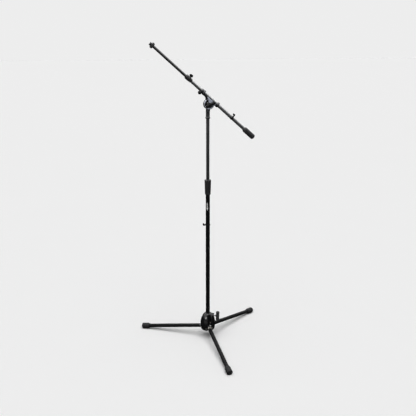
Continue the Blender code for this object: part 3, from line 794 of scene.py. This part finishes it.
def upper_mast():
    outer, low, high = span("mast_slide_bush", MAST)
    corners = [(0.0058, high), (0.0066, high - 0.0012), (0.0066, 0.4397), (outer - 0.0003, 0.4397),
               (outer, 0.4390), (outer, 0.4316), (outer - 0.0006, 0.4310), (outer - 0.0006, 0.4290),
               (outer, 0.4284), (outer, low + 0.0010), (outer - 0.0008, low)]
    add("slide_bush", lathe(soft(corners, 0.0003)), "nylon", "mast_bush", MAST, ["mast_slide_bush"])
    tube("mast_upper_pipe", "upper_tube", "black_tube", "mast_upper", MAST)


# ---------------------------------------------------------------- clutch
DISC_R = span("friction_washer", HINGE)[0] + 0.0006


def clutch_neck():
    """Socket on the mast's top, flared into the fixed disc, with a stepped collar at its foot."""
    low = span("clutch_neck", MAST)[1]
    from_hinge = MAST.inverted() @ HINGE
    neck = [(0.0080, 1.2540), (0.0094, 1.2480), (0.0093, low + 0.0200), (0.0096, low + 0.0078),
            (0.0104, low + 0.0062), (0.0118, low + 0.0052), (0.0120, low + 0.0042), (0.0120, low + 0.0006),
            (0.0114, low), (0.0050, low), (0.0050, low + 0.0200)]
    disc = lathe(soft([(DISC_R - 0.0024, 0.0125), (DISC_R - 0.0005, 0.0122), (DISC_R, 0.0112),
                       (DISC_R, 0.0040), (DISC_R - 0.0024, 0.0018)], 0.0010), 96)
    web = plate(soft([(-0.0080, -0.0400), (0.0080, -0.0400), (0.0090, -0.0230), (0.0150, -0.0120),
                      (-0.0150, -0.0120), (-0.0090, -0.0230)], 0.0050, closed=True), 0.0008, 0.0100)
    spine = plate(soft([(-0.0030, -0.0400), (0.0030, -0.0400), (0.0024, 0.0120), (-0.0024, 0.0120)], 0.0010,
                       closed=True), -0.0050, 0.0040)
    plates = [placed(part, from_hinge) for part in (disc, web, spine)]
    bm = carved([lathe(neck, 64)] + plates, voxel=0.0006, rounds=6, keep=0.5)
    bores = [rod(0.0083, low - 0.01, 1.2235, 64), placed(rod(0.0042, -0.0300, 0.0300, 48), from_hinge)]
    add("neck_casting", drilled(bm, bores), "black_casting", "mast_upper", MAST, ["clutch_neck"],
        32)


def hex_rod(across, low, high):
    """Six-sided bolt head with chamfered corners."""
    def flats(angle, radius, z):
        edge = across / 2 / cos((angle + pi / 6) % (pi / 3) - pi / 6)
        return min(edge, radius) - radius
    corner = across / sqrt(3)
    outline = [(corner - 0.0010, high), (corner, high - 0.0006),
               (corner, low + 0.0006), (corner - 0.0010, low)]
    return lathe(outline, 72, ripple=flats)


def clutch_hardware():
    """Bolt through both discs, fibre washer between them, plated washer under the handle."""
    shank = thread(0.0040, 0.0004, 0.0010, 0.0240, 0.0395)
    plain = rod(0.0040, 0.0010, 0.0240)
    head = hex_rod(0.0130, -0.0044, 0.0015)
    add("clutch_bolt_steel", carved([head, plain, shank]), "zinc", "mast_upper", HINGE,
        ["clutch_bolt"])
    outer, low, high = span("friction_washer", HINGE)
    add("fibre_washer", pipe(outer, 0.0045, low, high, 0.0003, 96), "fibre", "mast_upper", HINGE,
        ["friction_washer"])
    outer, low, high = span("clutch_pressure_washer", HINGE)
    add("pressure_washer", pipe(outer, 0.0043, low, high, 0.0004), "zinc", "clutch_washer", HINGE,
        ["clutch_pressure_washer"])


def clutch_handle():
    hub = soft([(0.0052, 0.0575), (0.0088, 0.0560), (0.0098, 0.0440), (0.0098, 0.0300), (0.0088, 0.0273),
                (0.0060, 0.0273)], 0.0014)
    t_handle("clutch_t_handle", 0.0520, 0.0076, 0.0068, 0.0500, hub, -67, (0.0043, 0.0200, 0.0420),
             "knob_black", "clutch_handle", HINGE, "clutch_knob")


# ---------------------------------------------------------------- boom
CRADLE_REAR, CRADLE_WAIST = -0.0365, -0.0275     # the rear ring, as stations along the boom
CRADLE_FLANGE, CRADLE_FRONT = 0.0550, 0.0750     # the front ring


def boom_cradle():
    """Moving disc cast in one piece with a trough, two tube rings and the webs that carry them."""
    to_boom = HINGE.inverted() @ BOOM
    disc = lathe(soft([(0.0080, 0.0236), (DISC_R - 0.0062, 0.0234), (DISC_R - 0.0040, 0.0246),
                       (DISC_R - 0.0016, 0.0250), (DISC_R, 0.0238), (DISC_R, 0.0160),
                       (DISC_R - 0.0008, 0.0150)], 0.0010), 96)
    sleeve = [(0.0104, CRADLE_FRONT), (0.0111, CRADLE_FRONT - 0.0008), (0.0112, 0.0622), (0.0120, 0.0616),
              (0.0128, 0.0608), (0.0128, CRADLE_FLANGE + 0.0008), (0.0116, CRADLE_FLANGE),
              (0.0115, CRADLE_WAIST), (0.0128, CRADLE_WAIST - 0.0008), (0.0128, CRADLE_REAR + 0.0010),
              (0.0119, CRADLE_REAR)]
    webs = plate(soft([(0.0440, -0.0060), (0.0260, -0.0180), (0.0170, -0.0380), (0.0120, -0.0400),
                       (-0.0120, -0.0400), (-0.0200, -0.0230), (-0.0290, -0.0060)], 0.0090, closed=True),
                 -0.0120, -0.0045)
    # the web's outline is (station, side): lay its first axis along the boom and its second upwards
    lay = Matrix(((0, 1, 0, 0), (0, 0, -1, 0), (1, 0, 0, 0), (0, 0, 0, 1)))
    webs = placed(webs, to_boom @ lay)
    boss = lathe(soft([(0.0044, 0.0174), (0.0058, 0.0166), (0.0058, 0.0020)], 0.0008), 48)
    to_screw = HINGE.inverted() @ CRADLE_SCREW
    window = slab((-0.0040, -0.0200, CRADLE_WAIST), (0.0300, 0.0200, CRADLE_FLANGE))
    bm = carved([disc, placed(lathe(sleeve, 72), to_boom), webs, placed(boss, to_screw)],
                [placed(window, to_boom)], voxel=0.0006, rounds=5, keep=0.5)
    screw_way = lathe([(0.0023, 0.0300), (0.0023, 0.0150), (0.0034, 0.0150), (0.0034, 0.0030)], 32)
    bores = [placed(rod(0.0097, CRADLE_REAR - 0.01, CRADLE_FRONT + 0.01, 72), to_boom),
             placed(screw_way, to_screw), rod(0.0042, 0.0100, 0.0300)]
    add("cradle_casting", drilled(bm, bores), "black_casting", "cradle", HINGE, ["boom_cradle"],
        32)
    face = soft([(DISC_R - 0.0052, 0.0240), (DISC_R - 0.0036, 0.0251), (DISC_R - 0.0012, 0.0254),
                 (DISC_R + 0.0002, 0.0242), (DISC_R + 0.0002, 0.0170), (DISC_R - 0.0006, 0.0166),
                 (DISC_R - 0.0010, 0.0225), (0.0115, 0.0225), (0.0110, 0.0238)], 0.0006, closed=True)
    add("cradle_disc_face", lathe(face, 96, closed=True), "disc_satin_and_painted_highlight", "cradle", HINGE, ())
    # Bright satin sheet over one face of the web: a painted highlight, since the web itself is black casting
    face = plate(soft([(0.0330, -0.0030), (0.0320, -0.0090), (0.0200, -0.0130), (0.0140, -0.0200),
                       (0.0090, -0.0252), (-0.0120, -0.0252), (-0.0200, -0.0130), (-0.0225, -0.0030)],
                      0.0026, closed=True), 0.0098, 0.0120)
    add("cradle_web_face", placed(face, to_boom @ lay), "disc_satin_and_painted_highlight", "cradle", HINGE, ())
    boom_r = span("boom_outer_tube", BOOM)[0]
    for name in ("boom_bush_front", "boom_bush_rear"):
        outer, low, high = span(name, BOOM)
        liner = pipe(outer, boom_r + GAP / 2, low, high, 0.0003)
        if name == "boom_bush_front":
            window = placed(rod(0.0034, 0.0030, 0.0150, 32), BOOM.inverted() @ CRADLE_SCREW)
            liner = drilled(liner, [window])
        add(name + "_liner", liner, "nylon", "cradle", BOOM, [name])


def thumb_screw(prefix, body, pad_body, place, shank_low, knob_low):
    """Clamp pad, threaded shank and a small knurled knob."""
    outer, low, high = span(f"{prefix}_clamp_pad", place)
    add(f"{prefix}_pad", lathe(soft([(outer, high), (outer, low)], 0.0003), 40), "brass", pad_body, place,
        [f"{prefix}_clamp_pad"])
    add(f"{prefix}_screw_shank", thread(0.0021, 0.0003, 0.0007, shank_low, knob_low + 0.0040, 32), "steel",
        body, place, ())

    def knurl(angle, radius, z):
        if radius < 0.0062:
            return 0.0
        return -0.0006 * (0.5 + 0.5 * cos(14 * angle)) ** 1.4

    corners = [(0.0020, knob_low + 0.0104), (0.0058, knob_low + 0.0100), (0.0082, knob_low + 0.0088),
               (0.0089, knob_low + 0.0066), (0.0089, knob_low + 0.0040), (0.0083, knob_low + 0.0018),
               (0.0060, knob_low + 0.0002), (0.0030, knob_low)]
    add(f"{prefix}_knob", lathe(soft(corners, 0.0012), 14 * 8, ripple=knurl), "knob_black", body, place,
        [f"{prefix}_thumb_screw"], 45)


def boom_tubes():
    tube("boom_outer_pipe", "boom_outer_tube", "boom_tube", "boom_outer", BOOM)
    tube("boom_inner_pipe", "boom_inner_tube", "inner_black", "boom_inner", BOOM, 0.0010)
    outer, low, high = span("boom_inner_bush", BOOM)
    seat = low + 0.0147
    corners = [(0.0044, high), (0.0050, high - 0.0010), (0.0050, seat), (outer - 0.0002, seat),
               (outer, seat - 0.0005), (outer, low + 0.0010), (outer - 0.0006, low)]
    add("inner_guide_bush", lathe(soft(corners, 0.0003)), "nylon", "boom_bush", BOOM, ["boom_inner_bush"])


def tele_clutch():
    """Two-diameter housing that joins the boom tubes, with a boss for its thumb screw."""
    low, high = 0.1400, 0.1750
    outline = soft([(0.0094, high), (0.0108, high - 0.0015), (0.0112, high - 0.0050), (0.0112, 0.1535),
                    (0.0100, 0.1490), (0.0095, low + 0.0030), (0.0092, low)], 0.0012)
    boss = lathe(soft([(0.0040, 0.0140), (0.0052, 0.0132), (0.0052, 0.0070)], 0.0006), 40)
    to_screw = BOOM.inverted() @ TELE_SCREW
    bm = carved([lathe(outline, 72), placed(boss, to_screw)], voxel=0.00045, rounds=4, keep=0.5)
    screw_way = lathe([(0.0023, 0.0200), (0.0023, 0.0125), (0.0034, 0.0125), (0.0034, 0.0040)], 32)
    bores = [lathe([(0.00665, high + 0.01), (0.00665, 0.1503), (0.0083, 0.1503), (0.0083, low - 0.01)], 72),
             placed(screw_way, to_screw)]
    add("tele_housing", drilled(bm, bores), "matt_black", "boom_outer", BOOM, ["tele_clutch_housing"],
        32)


def boom_tip():
    """Threaded microphone stud on its flange, and the knurled lock ring."""
    outer, low, high = span("tip_thread_stud", BOOM)
    flange = 0.3755
    root = lathe(soft([(0.0090, flange + 0.0026), (0.0090, flange), (0.0050, flange), (0.0050, low + 0.0010),
                       (0.0042, low)], 0.0003), 72)
    bm = carved([root, thread(0.0079, 0.0006, 0.00094, flange + 0.0010, high, 72)])
    add("tip_stud", bm, "dark_steel", "boom_inner", BOOM, ["tip_thread_stud"])
    outer, low, high = span("tip_lock_ring", BOOM)

    def knurl(angle, radius, z):
        if radius < 0.0115 or not low + 0.0012 < z < high - 0.0012:
            return 0.0
        return -0.0008 * abs(2 * ((angle / (2 * pi) * 28) % 1.0) - 1)

    corners = [(outer - 0.0014, high), (outer - 0.0002, high - 0.0010), (outer - 0.0002, high - 0.0020),
               (outer, high - 0.0024), (outer, low + 0.0024), (outer - 0.0002, low + 0.0020),
               (outer - 0.0002, low + 0.0010), (outer - 0.0014, low), (0.0093, low), (0.0093, 0.3810),
               (0.0082, 0.3814), (0.0082, high)]
    add("tip_ring_knurled", lathe(soft(corners, 0.0003, closed=True), 28 * 6, closed=True, ripple=knurl),
        "matt_black", "tip_ring", BOOM, ["tip_lock_ring"], 25)


def counterweight():
    """Steel slug behind the tube's end and the rubber sleeve over both."""
    outer, low, high = span("counterweight_core", BOOM)
    step = -0.2423
    corners = [(0.0053, high), (0.0065, high - 0.0012), (0.0065, step), (outer - 0.0003, step),
               (outer, step - 0.0004), (outer, low + 0.0010), (outer - 0.0010, low)]
    add("steel_slug", lathe(soft(corners, 0.0004)), "steel", "boom_outer", BOOM, ["counterweight_core"])
    outer, low, high = span("counterweight_sleeve", BOOM)
    neck, slug, rounding = 0.0083, 0.0103, 0.0072
    outline = [(neck, high), (0.0096, high), (0.0103, high - 0.0006), (outer - 0.0008, high - 0.0052),
               (outer, high - 0.0064), (outer, high - 0.0082), (outer - 0.0010, high - 0.0088),
               (outer - 0.0010, high - 0.0098), (outer - 0.0001, high - 0.0104)]
    for part in range(9):
        angle = radians(90) * part / 8
        outline.append((outer - rounding * (1.0 - cos(angle)), low + rounding * (1.0 - sin(angle))))
    outline += [(0.0050, low), (0.0042, low + 0.0004), (0.0036, low + 0.0014), (0.0012, low + 0.0018),
                (0.0012, low + 0.0048), (slug, low + 0.0048), (slug, -0.2417), (neck, -0.2417)]
    add("weight_sleeve", lathe(outline, 96, closed=True), "weight_rubber", "boom_outer", BOOM,
        ["counterweight_sleeve"])


def boom():
    boom_cradle()
    thumb_screw("cradle", "cradle_screw", "cradle_pad", CRADLE_SCREW, 0.0125, 0.0195)
    boom_tubes()
    tele_clutch()
    thumb_screw("tele", "tele_screw", "tele_pad", TELE_SCREW, 0.0105, 0.0146)
    boom_tip()
    counterweight()
    boom_r = span("boom_outer_tube", BOOM)[0]
    place = clip_frame("boom_cable_clip", BOOM)
    cable_clip("boom_clip_hook", "boom_clip", "boom_cable_clip", place, boom_r)


def mast():
    mast_foot()
    lower_mast()
    mast_mark()
    mast_grip()
    place = clip_frame("mast_cable_clip", MAST)
    cable_clip("mast_clip_hook", "mast_clip", "mast_cable_clip", place, TUBE_R)
    upper_mast()
    clutch_neck()
    clutch_hardware()
    clutch_handle()


# ---------------------------------------------------------------- studio
def floor():
    """Matt pale floor that looks a little darker in the reflections on the stand."""
    look = Surface("floor", (0.90, 0.90, 0.90), 1.0)
    look.set("Specular IOR Level", 0.0)
    glossy = look.add("ShaderNodeLightPath").outputs["Is Glossy Ray"]
    look.tint(look.remap(glossy, 0.0, 1.0, 0.0, 1.0), (0.035, 0.035, 0.035))
    bm = bmesh.new()
    bmesh.ops.create_grid(bm, x_segments=1, y_segments=1, size=60.0)
    mesh = bpy.data.meshes.new("floor")
    bm.to_mesh(mesh)
    bm.free()
    mesh.materials.append(look.material)
    made = bpy.data.objects.new("floor", mesh)
    made.location.z = FLOOR_Z
    bpy.context.scene.collection.objects.link(made)


def world():
    """Even pale surround for the eye, a dim sky for diffuse light, a dark horizon in reflections."""
    scene = bpy.context.scene
    scene.world = bpy.data.worlds.new("studio")
    scene.world.use_nodes = True
    tree = scene.world.node_tree
    tree.nodes.clear()
    new, link = tree.nodes.new, tree.links.new
    rays = new("ShaderNodeLightPath")
    where = new("ShaderNodeTexCoord")
    split = new("ShaderNodeSeparateXYZ")
    link(where.outputs["Generated"], split.inputs["Vector"])
    height = new("ShaderNodeMapRange")
    height.interpolation_type = "SMOOTHSTEP"
    for key, value in (("From Min", 0.02), ("From Max", 0.60), ("To Min", 0.04), ("To Max", 4.5)):
        height.inputs[key].default_value = value
    link(split.outputs["Z"], height.inputs["Value"])
    glossy = new("ShaderNodeMix")
    glossy.data_type = "FLOAT"
    glossy.inputs["A"].default_value = DIFFUSE_SKY
    link(rays.outputs["Is Glossy Ray"], glossy.inputs["Factor"])
    link(height.outputs["Result"], glossy.inputs["B"])
    seen = new("ShaderNodeMix")
    seen.data_type = "FLOAT"
    seen.inputs["B"].default_value = BACKDROP
    link(rays.outputs["Is Camera Ray"], seen.inputs["Factor"])
    link(glossy.outputs["Result"], seen.inputs["A"])
    shade = new("ShaderNodeBackground")
    shade.inputs["Color"].default_value = (1.0, 1.0, 1.0, 1.0)
    link(seen.outputs["Result"], shade.inputs["Strength"])
    out = new("ShaderNodeOutputWorld")
    link(shade.outputs["Background"], out.inputs["Surface"])


def aimed(name, data, location, target):
    made = bpy.data.objects.new(name, data)
    made.location = location
    made.rotation_euler = (Vector(target) - Vector(location)).to_track_quat("-Z", "Y").to_euler()
    bpy.context.scene.collection.objects.link(made)
    return made


def softbox(name, location, target, wide, tall, radiance, tint=(1, 1, 1), only=()):
    """Card of light that shows only in reflections, on every piece or only on the listed ones."""
    data = bpy.data.lights.new(name, "AREA")
    data.shape = "RECTANGLE"
    data.size = wide
    data.size_y = tall
    data.energy = radiance * pi * wide * tall
    data.color = tint
    made = aimed(name, data, location, target)
    made.visible_diffuse = False
    made.visible_camera = False
    if only:
        group = bpy.data.collections.new(name + "_pieces")
        for piece in only:
            group.objects.link(bpy.data.objects[piece])
        made.light_linking.receiver_collection = group


def lights():
    world()
    top = bpy.data.lights.new("overhead", "SUN")
    top.angle = radians(66)
    top.energy = 2.40
    made = aimed("overhead", top, (-0.2, -0.6, 2.6), (0, 0, 0))
    made.visible_glossy = False
    softbox("ceiling_box", (-0.2, 0.1, 3.1), (0, 0, 1.3), 1.8, 1.4, 7.0)
    softbox("left_strip", (-2.2, -0.6, 1.6), (0, 0, 0.9), 0.5, 2.2, 2.5)
    softbox("left_slit", (-1.60, -1.26, 0.96), (0, 0, 0.08), 0.26, 0.9, 60.0, only=["housing_shell"])
    softbox("low_left_card", (-0.22, -0.20, 0.01), (0, 0, 0.05), 0.34, 0.10, 1.6, only=["housing_shell"])
    softbox("boom_card", (1.28, -0.38, 2.78), (0, 0, 1.3), 1.5, 1.5, 4.5, only=["boom_outer_pipe"])
    softbox("front_high_card", (-1.0, -3.0, 2.6), (0, 0, 1.2), 2.2, 1.0, 5.0)
    softbox("front_right_card", (0.68, -2.3, 0.98), (0, 0, 1.2), 0.6, 0.5, 4.0, (0.86, 0.92, 1.0))


def camera():
    data = bpy.data.cameras.new("camera")
    data.lens = CAMERA_LENS
    data.sensor_width = 36.0
    data.clip_start = 0.05
    data.clip_end = 200.0
    made = bpy.data.objects.new("camera", data)
    away = Vector((sin(VIEW_AZIMUTH), -cos(VIEW_AZIMUTH), 0))
    made.location = away * CAMERA_DISTANCE + Vector((0, 0, FLOOR_Z + CAMERA_HEIGHT))
    made.rotation_euler = (radians(90) - CAMERA_PITCH, 0, VIEW_AZIMUTH)
    data.shift_x = CAMERA_SHIFT
    bpy.context.scene.collection.objects.link(made)
    bpy.context.scene.camera = made


base()
mast()
boom()
floor()
lights()
camera()
bpy.context.scene.view_settings.view_transform = "Standard"
bpy.context.scene.view_settings.gamma = DISPLAY_GAMMA
